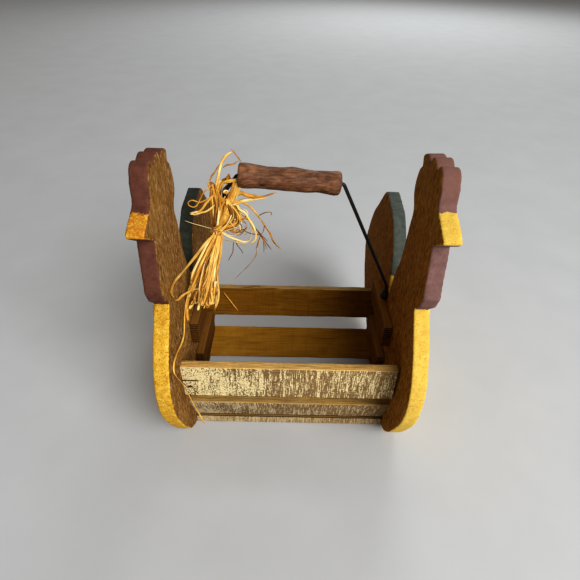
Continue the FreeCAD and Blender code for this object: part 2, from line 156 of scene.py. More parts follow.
class Finish:
    """A procedural material being put together, with short names for its nodes."""

    def __init__(self, name, roughness, specular, metallic=0.0):
        self.material = bpy.data.materials.new(name)
        self.material.use_nodes = True
        self.nodes = self.material.node_tree.nodes
        self.links = self.material.node_tree.links
        self.shader = self.nodes["Principled BSDF"]
        self.set(self.shader, "Roughness", roughness)
        self.set(self.shader, "Specular IOR Level", specular)
        self.set(self.shader, "Metallic", metallic)

    def set(self, node, socket, value):
        """Links a node's output to a socket, or puts a plain value on it."""
        if isinstance(value, bpy.types.NodeSocket):
            self.links.new(value, node.inputs[socket])
        elif node.inputs[socket].type == "RGBA":
            node.inputs[socket].default_value = (*value, 1)
        else:
            node.inputs[socket].default_value = value

    def make(self, kind, sockets):
        """A new node, with these values or links on its inputs."""
        node = self.nodes.new(f"ShaderNode{kind}")
        for socket, value in sockets.items():
            self.set(node, socket, value)
        return node

    def place(self, waves=(1, 1, 1), turn=(0, 0, 0)):
        """The frame's own coordinates in millimetres, times waves, then turned (radians)."""
        where = self.nodes.new("ShaderNodeTexCoord").outputs["Object"]
        scale = [wave / MM for wave in waves]
        mapping = self.make("Mapping", {"Vector": where, "Rotation": turn, "Scale": scale})
        return mapping.outputs["Vector"]

    def split(self, vector):
        return self.make("SeparateXYZ", {"Vector": vector}).outputs

    def axes(self):
        return self.split(self.place())

    def normal(self):
        return self.split(self.nodes.new("ShaderNodeNewGeometry").outputs["Normal"])

    def attribute(self, name):
        node = self.nodes.new("ShaderNodeAttribute")
        node.attribute_name = name
        return node.outputs["Fac"]

    def noise(self, waves, detail=3, rough=0.5, warp=0.0, turn=(0, 0, 0)):
        """Noise with this many waves a millimetre: one number, or one each for X, Y and Z.
        It may also be a vector of a material's own, which the noise then follows."""
        scale = 1.0
        if isinstance(waves, bpy.types.NodeSocket):
            where = waves
        elif isinstance(waves, tuple):
            where = self.place(waves, turn)
        else:
            where, scale = self.place(), waves
        sockets = {"Vector": where, "Scale": scale, "Detail": detail}
        node = self.make("TexNoise", {**sockets, "Roughness": rough, "Distortion": warp})
        return node.outputs["Fac"]

    def spots(self, waves):
        """The distance to the nearest of many scattered points."""
        node = self.make("TexVoronoi", {"Vector": self.place(waves), "Scale": 1.0})
        return node.outputs["Distance"]

    def math(self, operation, *values):
        node = self.nodes.new("ShaderNodeMath")
        node.operation = operation
        for slot, value in enumerate(values):
            self.set(node, slot, value)
        return node.outputs[0]

    def plus(self, a, b):
        return self.math("ADD", a, b)

    def minus(self, a, b):
        return self.math("SUBTRACT", a, b)

    def times(self, *values):
        """The product of masks, other values and numbers."""
        result = values[0]
        for value in values[1:]:
            result = self.math("MULTIPLY", result, value)
        return result

    def total(self, *parts):
        """The sum of values, each times its weight."""
        result, *others = [self.times(value, weight) for value, weight in parts]
        for other in others:
            result = self.plus(result, other)
        return result

    def step(self, value, start, end):
        """0 up to start and 1 from end on, smooth between them; end may be the lower one."""
        node = self.nodes.new("ShaderNodeMapRange")
        node.interpolation_type = "SMOOTHSTEP"
        falling = start > end
        self.set(node, "Value", value)
        self.set(node, "From Min", min(start, end))
        self.set(node, "From Max", max(start, end))
        self.set(node, "To Min", 1.0 if falling else 0.0)
        self.set(node, "To Max", 0.0 if falling else 1.0)
        return node.outputs["Result"]

    def mix(self, amount, a, b):
        """Colour a where the amount is 0, and b where it is 1."""
        node = self.nodes.new("ShaderNodeMix")
        node.data_type = "RGBA"
        for socket, value in (("Factor", amount), (MIX_A, a), (MIX_B, b)):
            self.set(node, socket, value)
        return node.outputs[MIX_RESULT]

    def over(self, under, colour, mask, strength=1.0):
        """A colour laid over another, where a mask says and this strongly."""
        return self.mix(mask if strength == 1.0 else self.times(mask, strength), under, colour)

    def ramp(self, value, positions, colours):
        node = self.make("ValToRGB", {"Fac": value})
        elements = node.color_ramp.elements
        while len(elements) < len(colours):
            elements.new(0.5)
        for element, position, colour in zip(elements, positions, colours):
            element.position = position
            element.color = (*colour, 1)
        return node.outputs["Color"]

    def done(self, colour, height=None, bump=0.0):
        """Puts the colour on the shader, and a relief that is bump millimetres high."""
        self.set(self.shader, "Base Color", colour)
        if height is not None:
            sockets = {"Strength": 1.0, "Distance": bump * MM, "Height": height}
            self.set(self.shader, "Normal", self.make("Bump", sockets).outputs["Normal"])
        return self.material


# The boards' inner faces are bare from here inwards.
BOARD_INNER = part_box("rooster_right")[0][0] / MM

# Where each paint on the boards starts and is full, along Y and Z.
HEAD_FROM_Z, HEAD_FROM_Y = (146.6, 147.4), (-18, -20)
COMB_FROM_Z = (218, 236)
TAIL_FROM_Z, TAIL_FROM_Y = (121.0, 123.0), (-14.5, -13.5)
BEAK_FROM_Y, BEAK_TOP_Z = (-83.4, -84.2), (217.9, 217.3)
# The beak's underside: Z plus this share of Y is the same all along it.
BEAK_SLOPE, BEAK_UNDERSIDE = 0.662, (143.6, 144.1)
# Above this height the beak's root leans forward, by this much a millimetre.
BROW_Z, BROW_LEAN = 215.0, 0.9
# How much higher the paint on the right beak reaches.
RIGHT_BEAK_HIGHER = 2.3

# Lit and shaded copies of one wood: the right board's bare wood and fuzz are brighter and more
# saturated to suit the shade on its inner face.
BARE_LEFT = ((0.105, 0.042, 0.009), (0.215, 0.095, 0.019), (0.34, 0.175, 0.045))
BARE_RIGHT = ((0.15, 0.054, 0.005), (0.34, 0.130, 0.012), (0.48, 0.22, 0.028))
BARE_PORES = (0.085, 0.036, 0.010)
BARE_FUZZ_LEFT, BARE_FUZZ_RIGHT = (0.44, 0.28, 0.125), (0.46, 0.22, 0.050)
BARE_PITS = (0.052, 0.022, 0.007)
BARE_PATCHES = (0.33, 0.165, 0.035)
# On the right board the yellow, maroon and green are paler copies: painted light and sheen from the
# window on that side.
YELLOW = ((0.46, 0.20, 0.016), (0.66, 0.37, 0.036), (0.79, 0.54, 0.10))
YELLOW_LIT_RIGHT = (0.76, 0.56, 0.12)
YELLOW_WORN = (0.24, 0.105, 0.011)
ORANGE = (0.50, 0.17, 0.016)
MAROON_LEFT = ((0.080, 0.027, 0.017), (0.140, 0.055, 0.036))
MAROON_LIT_RIGHT = ((0.135, 0.068, 0.058), (0.215, 0.116, 0.104))
MAROON_COMB = (0.180, 0.085, 0.062)
MAROON_STREAKS_LEFT, MAROON_SHEEN_STREAKS_RIGHT = (0.17, 0.085, 0.060), (0.31, 0.19, 0.16)
GREEN_LEFT = ((0.022, 0.026, 0.016), (0.054, 0.056, 0.042))
GREEN_LIT_RIGHT = ((0.050, 0.058, 0.048), (0.098, 0.110, 0.094))


def painted_board():
    """Stained bare wood inside; maroon head, yellow beak and body and green tail elsewhere. The
    right board has its own copies: paler paint with painted light and sheen, and bare wood set for
    its shade.
    """
    f = Finish("rooster_board", roughness=0.85, specular=0.06)
    x, y, z = f.axes()
    on_right = f.step(x, -1, 1)

    # Each colour has a left and a right copy; the right ones carry painted light and sheen, or suit
    # the shade inside.
    def by_side_for_light(value, positions, left, right):
        return f.mix(on_right, f.ramp(value, positions, left), f.ramp(value, positions, right))

    grain = f.noise((0.9, 0.9, 0.05), 5, 0.62, 0.6)
    fibres = f.noise((3.2, 3.2, 0.16), 4, 0.7)
    fuzz = f.noise((0.62, 0.62, 0.22), 4, 0.75, 0.6, turn=(0.3, 0, 0))
    fuzz_colour = f.mix(on_right, BARE_FUZZ_LEFT, BARE_FUZZ_RIGHT)
    bare = by_side_for_light(grain, (0.25, 0.5, 0.75), BARE_LEFT, BARE_RIGHT)
    bare = f.over(bare, BARE_PORES, f.step(fibres, 0.46, 0.66), 0.7)
    bare = f.over(bare, fuzz_colour, f.step(fuzz, 0.52, 0.62), 0.75)
    bare = f.over(bare, BARE_PITS, f.step(fuzz, 0.48, 0.38), 0.75)
    bare = f.over(bare, BARE_PATCHES, f.step(f.noise(0.035), 0.45, 0.7), 0.3)

    mottle = f.noise(0.22, 6, 0.72)
    speckle = f.step(f.noise(0.95, 3, 0.7), 0.53, 0.62)
    # The speckle is 0.75 strong on the left board, and 0.4 to 0.75 on the right one.
    drift = f.times(f.step(f.noise(0.028, 3, 0.6), 0.44, 0.62), 0.75)
    worn = f.math("MAXIMUM", drift, f.minus(0.75, f.times(on_right, 0.35)))
    yellow = f.ramp(mottle, (0.3, 0.5, 0.68), YELLOW)
    # Painted light: the right board's yellow is made paler.
    yellow = f.over(yellow, YELLOW_LIT_RIGHT, on_right, 0.5)
    yellow = f.over(yellow, YELLOW_WORN, f.times(speckle, worn))
    flecks = f.step(f.noise(0.55, 5, 0.7), 0.58, 0.44)
    orange = f.over(yellow, ORANGE, f.times(flecks, f.step(x, 1, -1)))
    # On the right board the streaks are a pale grey painted sheen.
    streaks_and_sheen_colour = f.mix(on_right, MAROON_STREAKS_LEFT, MAROON_SHEEN_STREAKS_RIGHT)
    maroon = by_side_for_light(mottle, (0.3, 0.7), MAROON_LEFT, MAROON_LIT_RIGHT)
    maroon = f.over(maroon, MAROON_COMB, f.times(on_right, f.step(z, *COMB_FROM_Z)), 0.7)
    maroon = f.over(maroon, streaks_and_sheen_colour, f.step(fibres, 0.5, 0.8), 0.5)
    green = by_side_for_light(mottle, (0.3, 0.7), GREEN_LEFT, GREEN_LIT_RIGHT)

    ragged = f.times(f.minus(f.noise(0.3, 4), 0.5), 4.0)
    height, depth = f.plus(z, ragged), f.plus(y, ragged)
    head = f.times(f.step(height, *HEAD_FROM_Z), f.step(y, *HEAD_FROM_Y))
    brow = f.times(f.math("MAXIMUM", f.minus(z, BROW_Z), 0.0), BROW_LEAN)
    beak = f.times(
        f.step(f.minus(depth, brow), *BEAK_FROM_Y),
        f.step(f.plus(z, f.times(y, BEAK_SLOPE)), *BEAK_UNDERSIDE),
        f.step(f.minus(height, f.times(on_right, RIGHT_BEAK_HIGHER)), *BEAK_TOP_Z),
    )
    tail = f.times(f.step(height, *TAIL_FROM_Z), f.step(y, *TAIL_FROM_Y))
    paint = f.mix(head, yellow, maroon)
    paint = f.mix(beak, paint, orange)
    paint = f.mix(tail, paint, green)

    bleed = f.minus(f.noise(0.7), 0.5)
    outwards = f.plus(f.math("ABSOLUTE", x), bleed)
    painted = f.step(outwards, BOARD_INNER + 0.25, BOARD_INNER + 0.45)
    saw = f.noise((0.12, 1.3, 1.3), 3, 0.6)
    relief = f.total((fibres, 0.6), (saw, 0.5), (fuzz, 0.5))
    return f.done(f.mix(painted, bare, paint), relief, 0.22)


# A saw cut and a small knot at the left end of the upper front slat, above the others.
KERF_END_X = -70.5
KERF_Z = 76.3
KNOT_HOLE_X, KNOT_HOLE_Z = -77.4, 69.3

# The wash covers a slat where its noise is above this.
WASH_LEVEL = 0.512
WASHED_WOOD = ((0.14, 0.078, 0.026), (0.28, 0.170, 0.070))
WASHED_WOOD_LEFT = (0.095, 0.050, 0.015)
UNDER_SLAT_SHADE = (0.055, 0.032, 0.011)
CUT_AND_HOLE_SHADE = (0.050, 0.026, 0.009)


def whitewashed(name, top_edge, pale, thin, soft=0.016, shift=0.0, shaded_above=None):
    """Worn wash caught in saw marks over brown wood, with bare top edges, and a painted highlight
    along their front arris. On the lower slats the top edges hold painted shade.

    pale and thin are the wash where it is thick and thin, soft is how gently it fades out,
    shift takes some of it off, and shaded_above is the height from which the face is dark."""
    f = Finish(name, roughness=0.85, specular=0.12)
    x, _, z = f.axes()
    bands = f.noise((0.30, 0.02, 0.02), 3, 0.7)
    dabs = f.noise((1.0, 0.8, 0.8), 3, 0.7)
    lines = f.noise((1.35, 0.09, 0.09), 2, 0.6)
    cloud = f.noise((0.03, 0.05, 0.05))
    on_left = f.step(x, 5, -75)
    spotted = f.total((dabs, 0.75), (lines, 0.25))
    lined = f.total((dabs, 0.38), (lines, 0.62))
    cover = f.plus(f.times(on_left, spotted), f.times(f.minus(1.0, on_left), lined))
    for broad, middle, weight in ((bands, 0.5, 0.30), (cloud, 0.5, 0.22), (on_left, 0.42, 0.085)):
        cover = f.plus(cover, f.times(f.minus(broad, middle), weight))
    wood = f.ramp(f.noise((0.05, 0.9, 0.9), 4), (0.3, 0.7), WASHED_WOOD)
    wood = f.over(wood, WASHED_WOOD_LEFT, on_left, 0.75)
    wash = f.ramp(dabs, (0.3, 0.7), (thin, pale))
    level = WASH_LEVEL + shift
    face = f.mix(f.step(cover, level - soft, level + soft), wood, wash)
    if shaded_above:
        shaded = f.step(z, shaded_above - 0.5, shaded_above + 0.5)
        face = f.over(face, UNDER_SLAT_SHADE, shaded)

    along, up_from = f.minus(x, KNOT_HOLE_X), f.minus(z, KNOT_HOLE_Z)
    far = f.total((f.times(along, along), 1.0), (f.times(up_from, up_from), 2.2), (dabs, 5.0))
    hole = f.step(far, 8.5, 6.5)
    kerf = f.times(
        f.step(x, KERF_END_X + 0.6, KERF_END_X - 0.6),
        f.step(f.math("ABSOLUTE", f.minus(z, KERF_Z)), 0.95, 0.55),
    )
    # Painted shade: the saw cut and the knot hole are dark inside.
    face = f.over(face, CUT_AND_HOLE_SHADE, f.math("MAXIMUM", hole, kerf))

    facing_up = f.normal()[2]
    # Painted highlight: a paler colour on the rounded arris between the face and the top edge.
    corner = tuple(min(0.8, 1.7 * channel) for channel in top_edge)
    shades = [tuple(share * channel for channel in top_edge) for share in (0.35, 1.0, 1.6)]
    edge = f.ramp(f.noise((0.05, 1.3, 1.3), 5, 0.7), (0.34, 0.5, 0.68), shades)
    face = f.over(face, corner, f.step(facing_up, 0.40, 0.55))
    # On the lower slats the top-edge colours hold painted shade from the slat above.
    face = f.over(face, edge, f.step(facing_up, 0.74, 0.86))
    return f.done(face, f.total((lines, 0.7), (dabs, 0.5)), 0.35)


def stained(name, dark, middle, light, top_edge=None):
    """Brown-stained slats with their grain along X and faint saw marks across it."""
    f = Finish(name, roughness=0.8, specular=0.08)
    grain = f.noise((0.035, 0.7, 0.7), 5, 0.6, 0.8)
    saw = f.noise((1.1, 0.03, 0.03), 3, 0.6)
    colour = f.ramp(grain, (0.28, 0.5, 0.74), (dark, middle, light))
    colour = f.over(colour, dark, f.step(saw, 0.52, 0.7), 0.45)
    colour = f.over(colour, light, f.step(f.noise(0.04), 0.5, 0.7), 0.5)
    if top_edge:
        # Upward faces take the paler top-edge colour where the grain is light.
        worn = f.times(f.step(f.normal()[2], 0.85, 0.95), f.step(grain, 0.4, 0.5))
        colour = f.over(colour, top_edge, worn)
    return f.done(colour, f.total((grain, 0.2), (saw, 0.6)), 0.25)


CLEAT_WOOD = ((0.06, 0.021, 0.003), (0.18, 0.070, 0.008), (0.33, 0.145, 0.024))
CLEAT_TOP = (0.40, 0.185, 0.038)
CLEAT_COMBING = (0.020, 0.008, 0.002)


def stained_cleat():
    """Dark stained wood with its grain along Y, lighter on top, and its front ends combed."""
    f = Finish("brown_cleat", roughness=0.8, specular=0.08)
    dark = CLEAT_WOOD[0]
    x, _, z = f.axes()
    _, facing_back, facing_up = f.normal()
    grain = f.noise((0.7, 0.035, 0.7), 5, 0.6, 0.8)
    saw = f.noise((0.03, 1.1, 0.03), 3, 0.6)
    colour = f.ramp(grain, (0.28, 0.5, 0.74), CLEAT_WOOD)
    colour = f.over(colour, dark, f.step(saw, 0.52, 0.7), 0.3)
    colour = f.over(colour, CLEAT_TOP, f.step(facing_up, 0.6, 0.9), 0.6)
    colour = f.over(colour, dark, f.step(x, 1, -1), 0.6)
    waver = f.times(f.noise(0.25, 2), 3.0)
    teeth = f.math("SINE", f.plus(f.times(z, 2.6), waver))
    lines = f.times(f.step(facing_back, -0.6, -0.85), f.step(teeth, -0.2, 0.6))
    colour = f.over(colour, CLEAT_COMBING, lines, 0.85)
    return f.done(colour, f.total((grain, 0.3), (saw, 0.5), (lines, -0.8)), 0.25)


GRIP_WOOD = ((0.040, 0.015, 0.007), (0.120, 0.047, 0.020), (0.30, 0.140, 0.062))
GRIP_ORANGE = (0.36, 0.15, 0.06)
GRIP_KNOTS = (0.035, 0.014, 0.009)


def grip_wood():
    """Reddish brown whittled wood, worn to orange in places, with a few dark knots."""
    f = Finish("grip_wood", roughness=0.6, specular=0.25)
    grain = f.noise((0.05, 0.8, 0.8), 5, 0.65, 1.0)
    cuts = f.noise((0.13, 0.26, 0.26), 5, 0.65, 0.6)
    tone = f.total((grain, 0.5), (cuts, 0.5))
    colour = f.ramp(tone, (0.36, 0.5, 0.66), GRIP_WOOD)
    worn = f.step(f.noise((0.05, 0.1, 0.1)), 0.54, 0.68)
    colour = f.over(colour, GRIP_ORANGE, worn, 0.45)
    colour = f.over(colour, GRIP_KNOTS, f.step(f.spots((0.045, 0.09, 0.09)), 0.16, 0.08))
    return f.done(colour, tone, 0.35)


def dark_metal(name, colour, rust):
    """Dull dark metal with patches of rust."""
    f = Finish(name, roughness=0.5, specular=0.5, metallic=0.6)
    patches = f.noise(0.35, 4, 0.65)
    fine = f.noise(1.6, 3, 0.6)
    tone = f.mix(f.times(f.step(patches, 0.5, 0.66), 0.7), colour, rust)
    return f.done(tone, f.plus(patches, fine), 0.12)


RAFFIA = (
    (0.08, 0.030, 0.006),
    (0.31, 0.115, 0.012),
    (0.67, 0.31, 0.030),
    (0.90, 0.57, 0.11),
    (0.97, 0.82, 0.45),
)
RAFFIA_EDGE = (0.30, 0.12, 0.02)


def raffia():
    """Dry straw-gold strands: each has its own tone, with fibres along it and darker edges."""
    f = Finish("raffia", roughness=0.55, specular=0.25)
    tone, run, side = (f.attribute(word) for word in ("tone", "run", "side"))
    lay = {"X": f.times(run, 0.09), "Y": f.times(side, 2.6), "Z": f.times(tone, 40.0)}
    fibres = f.noise(f.make("CombineXYZ", lay).outputs[0], 4, 0.7)
    shade = f.plus(tone, f.times(f.minus(fibres, 0.5), 1.8))
    shade = f.plus(shade, f.times(f.minus(f.noise(0.12), 0.5), 0.5))
    colour = f.ramp(shade, (0.0, 0.3, 0.55, 0.78, 1.0), RAFFIA)
    colour = f.over(colour, RAFFIA_EDGE, f.step(f.math("ABSOLUTE", side), 0.6, 1.0), 0.35)
    return f.done(colour, fibres, 0.15)


# -------- wood

# How each kind of wood is carved: voxel size, slow wobble, depth of nicks, saw marks.
BOARD_CUTS = (1.1, 0.35, 0.25, 0.0)
FRONT_SLAT_CUTS = (0.8, 0.30, 0.35, 0.12)
BACK_SLAT_CUTS = (0.8, 0.30, 0.30, 0.08)
CLEAT_CUTS = (0.8, 0.20, 0.25, 0.08)
# Corners of the CAD mesh this close are one point.
SAME_POINT = 0.002
WOBBLE_LENGTH = 14
SAW_MARK_SIZE = (1.7, 25, 25)
# Nicks are where their noise is above this level.
NICK_LENGTH, NICK_LEVEL = 2.6, 0.25
KERF_HALF, KERF_DEPTH = 0.7, 1.2

# The three washed slats, with what whitewashed() is told for each. The lower and bottom slats'
# top-edge colours are dark: painted shade from the slat above.
WASHED_SLATS = {
    "front_slat_upper": (
        "whitewashed_slat", (0.47, 0.28, 0.085), (0.84, 0.71, 0.40), (0.56, 0.41, 0.17),
    ),
    "front_slat_lower": (
        "whitewashed_lower_slat", (0.26, 0.155, 0.045), (0.70, 0.58, 0.36), (0.36, 0.25, 0.12),
        0.04, 0.012,
    ),
    "bottom_slat_front": (
        "whitewashed_bottom_slat", (0.12, 0.07, 0.02), (0.60, 0.46, 0.25), (0.42, 0.30, 0.14),
        0.12, -0.03, 8.6,
    ),
}
AMBER = ((0.10, 0.036, 0.002), (0.170, 0.068, 0.005), (0.245, 0.110, 0.010))
AMBER_TOP_EDGE = (0.34, 0.21, 0.07)
PALE_AMBER = ((0.20, 0.082, 0.006), (0.32, 0.145, 0.013), (0.42, 0.205, 0.024))


def remeshed(node, voxel):
    """A fine even mesh of a node's own shape."""
    work = bmesh.new()
    work.from_mesh(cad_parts[node].data)
    bmesh.ops.remove_doubles(work, verts=work.verts, dist=SAME_POINT * MM)
    mesh = bpy.data.meshes.new(f"{node}_coarse")
    work.to_mesh(mesh)
    work.free()
    holder = bpy.data.objects.new(f"{node}_holder", mesh)
    bpy.context.collection.objects.link(holder)
    remesh = holder.modifiers.new("remesh", "REMESH")
    remesh.mode = "VOXEL"
    remesh.voxel_size = voxel * MM
    remesh.use_smooth_shade = True
    return final_mesh(holder)


def final_mesh(holder):
    """The mesh that an object's modifiers or spline give. The object itself is removed."""
    bpy.context.view_layer.update()
    graph = bpy.context.evaluated_depsgraph_get()
    mesh = bpy.data.meshes.new_from_object(holder.evaluated_get(graph))
    bpy.data.objects.remove(holder)
    return mesh


def carved(node, cuts, material):
    """A node's own shape with a hand-cut surface, and saw marks that repeat along X."""
    voxel, wobble, nick, saw = cuts
    fine = remeshed(node, voxel * (1))
    count = len(fine.vertices)
    places = np.empty(count * 3)
    normals = np.empty(count * 3)
    fine.vertices.foreach_get("co", places)
    fine.vertices.foreach_get("normal", normals)
    places = places.reshape(-1, 3) / MM
    normals = normals.reshape(-1, 3)
    out = np.empty(count)
    for i, place in enumerate(places):
        slow = noise.noise(Vector(place) / WOBBLE_LENGTH)
        quick = noise.noise(Vector(place) / NICK_LENGTH)
        ridges = noise.noise(Vector(place / SAW_MARK_SIZE))
        out[i] = wobble * slow - nick * max(0.0, quick - NICK_LEVEL) + saw * ridges
    if node == "front_slat_upper":
        in_kerf = (places[:, 0] < KERF_END_X) & (np.abs(places[:, 2] - KERF_Z) < KERF_HALF)
        faces_front = normals[:, 1] < -0.5
        out[in_kerf & faces_front] -= KERF_DEPTH
    places = (places + normals * out[:, None]) * MM
    fine.vertices.foreach_set("co", places.ravel())
    fine.update()
    piece = fresh_object(f"{node}_wood", fine, material)
    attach(piece, "crate")
    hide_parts(node)


def make_wood():
    """Carves each wooden node in its own finish."""
    board = painted_board()
    amber = stained("amber_slat", *AMBER, AMBER_TOP_EDGE)
    pale_amber = stained("pale_amber_slat", *PALE_AMBER)
    cleat = stained_cleat()
    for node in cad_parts:
        if node.startswith("rooster"):
            carved(node, BOARD_CUTS, board)
        elif node in WASHED_SLATS:
            carved(node, FRONT_SLAT_CUTS, whitewashed(*WASHED_SLATS[node]))
        elif node == "back_slat_lower":
            carved(node, BACK_SLAT_CUTS, pale_amber)
        elif node in ("back_slat_upper", "bottom_slat_back"):
            carved(node, BACK_SLAT_CUTS, amber)
        elif node.startswith("end_cleat"):
            carved(node, CLEAT_CUTS, cleat)


def make_metal():
    """The wire, the nails and the screws keep their CAD shapes and get a finish."""
    wire = dark_metal("black_wire", (0.018, 0.016, 0.015), (0.075, 0.032, 0.015))
    steel = dark_metal("dull_steel", (0.045, 0.040, 0.035), (0.07, 0.030, 0.012))
    for node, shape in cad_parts.items():
        if node == "bail_wire" or "nails" in node or "screw" in node:
            for slot in shape.material_slots:
                slot.material = wire if node == "bail_wire" else steel


# -------- grip

GRIP_MIDDLE = mm(-3.2, -10, 207.1)
GRIP_TILT = math.radians(3.8)
GRIP_LENGTH = 74.4
GRIP_CORNERS = 48
GRIP_ROW = 1.2
GRIP_BORE = 1.5
# The whittling: its depth, the length of its waves along the grip, and how many go round it.
WHITTLE_DEPTH, WHITTLE_LENGTH, WHITTLE_ROUND = 0.45, 9, 2.2
# Distance along the grip (of 1), radius there, and how far its middle line sags.
GRIP_PROFILE = [
    (0.0, 1.55, 0.0), (0.004, 3.0, 0.0), (0.0, 7.6, 0.0), (0.006, 8.6, 0.0), (0.022, 9.0, 0.0),
    (0.07, 9.1, -0.1), (0.15, 8.5, 0.1), (0.27, 7.8, 0.3), (0.4, 8.2, 0.2), (0.52, 8.7, -0.1),
    (0.64, 8.2, 0.2), (0.76, 7.7, 0.3), (0.87, 8.2, 0.0), (0.94, 8.8, 0.0), (0.975, 8.5, 0.0),
    (0.993, 7.6, 0.0), (1.0, 6.2, 0.0), (0.996, 3.0, 0.0), (1.0, 1.55, 0.0),
]


def make_grip():
    """Whittled by hand: facets, a slight bend, and ends rounded over a dished face."""
    rows = []
    for start, end in zip(GRIP_PROFILE, GRIP_PROFILE[1:]):
        steps = max(1, round(abs(end[0] - start[0]) * GRIP_LENGTH / GRIP_ROW))
        for step in range(steps):
            k = step / steps
            rows.append([a + (b - a) * k for a, b in zip(start, end)])
    rows.append(GRIP_PROFILE[-1])
    lean = Matrix.Rotation(GRIP_TILT, 4, "Y")
    points = []
    for t, radius, sag in rows:
        for corner in range(GRIP_CORNERS):
            angle = 2 * math.pi * corner / GRIP_CORNERS
            across, up = math.cos(angle), math.sin(angle)
            where = (t * GRIP_LENGTH / WHITTLE_LENGTH, WHITTLE_ROUND * across, WHITTLE_ROUND * up)
            share = min(1.0, (radius - GRIP_BORE) / 4)
            near = radius + WHITTLE_DEPTH * noise.noise(Vector(where)) * share
            local = mm((t - 0.5) * GRIP_LENGTH, near * across, near * up - sag)
            points.append(GRIP_MIDDLE + lean @ local)
    # The last row joins the first, through the bore.
    faces = []
    for row in range(len(rows)):
        here, there = row * GRIP_CORNERS, (row + 1) % len(rows) * GRIP_CORNERS
        for a in range(GRIP_CORNERS):
            b = (a + 1) % GRIP_CORNERS
            faces.append((here + a, here + b, there + b, there + a))
    mesh = bpy.data.meshes.new("whittled_grip")
    mesh.from_pydata(points, [], faces)
    mesh.shade_smooth()
    piece = fresh_object("whittled_grip", mesh, grip_wood())
    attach(piece, "grip")
    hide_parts("bail_grip")


# -------- raffia

# A strand's section: how far across and how deep each corner stands, of 1.
SECTION = [
    (-1, 0), (-0.55, 0.8), (0.0, 1.0), (0.55, 0.8),
    (1, 0), (0.55, -0.8), (0.0, -1.0), (-0.55, -0.8),
]
TOWARDS_VIEWER = Vector((0, -0.8, 0.6))
STRAND_THICK = 0.32
STRAND_SPACING, SPACING_WHEN_QUICK = 1.1, 2.0
# A strand narrows to its ends over this length.
TAPER_LENGTH = 4
# It rolls and changes width a little at random: how much (radians, share), how slowly.
ROLL_AMOUNT, ROLL_LENGTH = 0.5, 9
WIDTH_AMOUNT, WIDTH_LENGTH = 0.25, 6
WIDEST_SIDE = 1.5


def smooth_line(route, spacing):
    """Points at even steps along a smooth curve through a route's points."""
    stops = [Vector(point) for point in route]
    stops = [stops[0] * 2 - stops[1]] + stops + [stops[-1] * 2 - stops[-2]]
    line = []
    for a, b, c, d in zip(stops, stops[1:], stops[2:], stops[3:]):
        steps = max(2, round((c - b).length / spacing))
        slope, bend, turn = c - a, 2 * a - 5 * b + 4 * c - d, 3 * b - a - 3 * c + d
        for step in range(steps):
            t = step / steps
            line.append(0.5 * (2 * b + slope * t + bend * t**2 + turn * t**3))
    line.append(stops[-2])
    return line


class Strands:
    """One mesh of flat raffia strands that keeps tone, run and side for the material."""

    def __init__(self, seed):
        self.draw = random.Random(seed)
        self.points, self.faces = [], []
        self.values = {"tone": [], "run": [], "side": []}

    def near(self, point, spread):
        """A point moved a little, at random."""
        if not isinstance(spread, tuple):
            spread = (spread,) * 3
        return tuple(c + self.draw.uniform(-s, s) for c, s in zip(point, spread))

    def add(self, route, wide, tone=0.55, turn=0.0, twist=0.0, cup=0.12, taper=(0.5, 0.3)):
        """A strand along a route; turn and twist (degrees, degrees a millimetre) roll it,
        cup hollows it and taper gives the width of its two ends, of 1."""
        line = smooth_line(route, STRAND_SPACING)
        self.follow(line, wide, tone, STRAND_THICK, turn, twist, cup, taper)

    def follow(self, line, wide, tone, thick, turn, twist, cup, taper):
        """A strand along a line of close points."""
        phase = self.draw.uniform(0, 100)
        run = 0.0
        total = sum((b - a).length for a, b in zip(line, line[1:]))
        up = TOWARDS_VIEWER
        first = len(self.points)
        corners = len(SECTION)
        for i, point in enumerate(line):
            heading = (line[min(i + 1, len(line) - 1)] - line[max(i - 1, 0)]).normalized()
            if i:
                run += (point - line[i - 1]).length
            up = up - heading * up.dot(heading)
            up = up.normalized() if up.length > 1e-4 else heading.orthogonal().normalized()
            roll = ROLL_AMOUNT * noise.noise(Vector((run / ROLL_LENGTH, phase, 0)))
            roll += math.radians(turn + twist * run)
            over = Matrix.Rotation(roll, 3, heading) @ up
            across = heading.cross(over)
            ends = min(
                1.0,
                taper[0] + (1 - taper[0]) * run / TAPER_LENGTH,
                taper[1] + (1 - taper[1]) * (total - run) / TAPER_LENGTH,
            )
            change = WIDTH_AMOUNT * noise.noise(Vector((run / WIDTH_LENGTH, phase, 5)))
            half = wide / 2 * ends * (1 + change)
            for side, deep in SECTION:
                lift = deep * thick / 2 + cup * half * side * side
                self.points.append((point + across * (side * half) + over * lift) * MM)
                self.values["tone"].append(tone)
                self.values["run"].append(run + phase * 10)
                self.values["side"].append(side * min(half, WIDEST_SIDE))
        for row in range(len(line) - 1):
            for i in range(corners):
                a = first + row * corners + i
                b = first + row * corners + (i + 1) % corners
                self.faces.append((a, a + corners, b + corners, b))
        last = first + (len(line) - 1) * corners
        self.faces.append(tuple(range(first, first + corners)))
        self.faces.append(tuple(reversed(range(last, last + corners))))

    def piece(self, name, material, node=None):
        """The strands as one object, which stands for a node if one is given."""
        mesh = bpy.data.meshes.new(name)
        mesh.from_pydata(self.points, [], self.faces)
        mesh.shade_smooth()
        for word, values in self.values.items():
            mesh.attributes.new(word, "FLOAT", "POINT").data.foreach_set("value", values)
        made = fresh_object(name, mesh, material)
        if node:
            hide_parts(node)
        return made


KNOT = (-58.5, -16, 168)

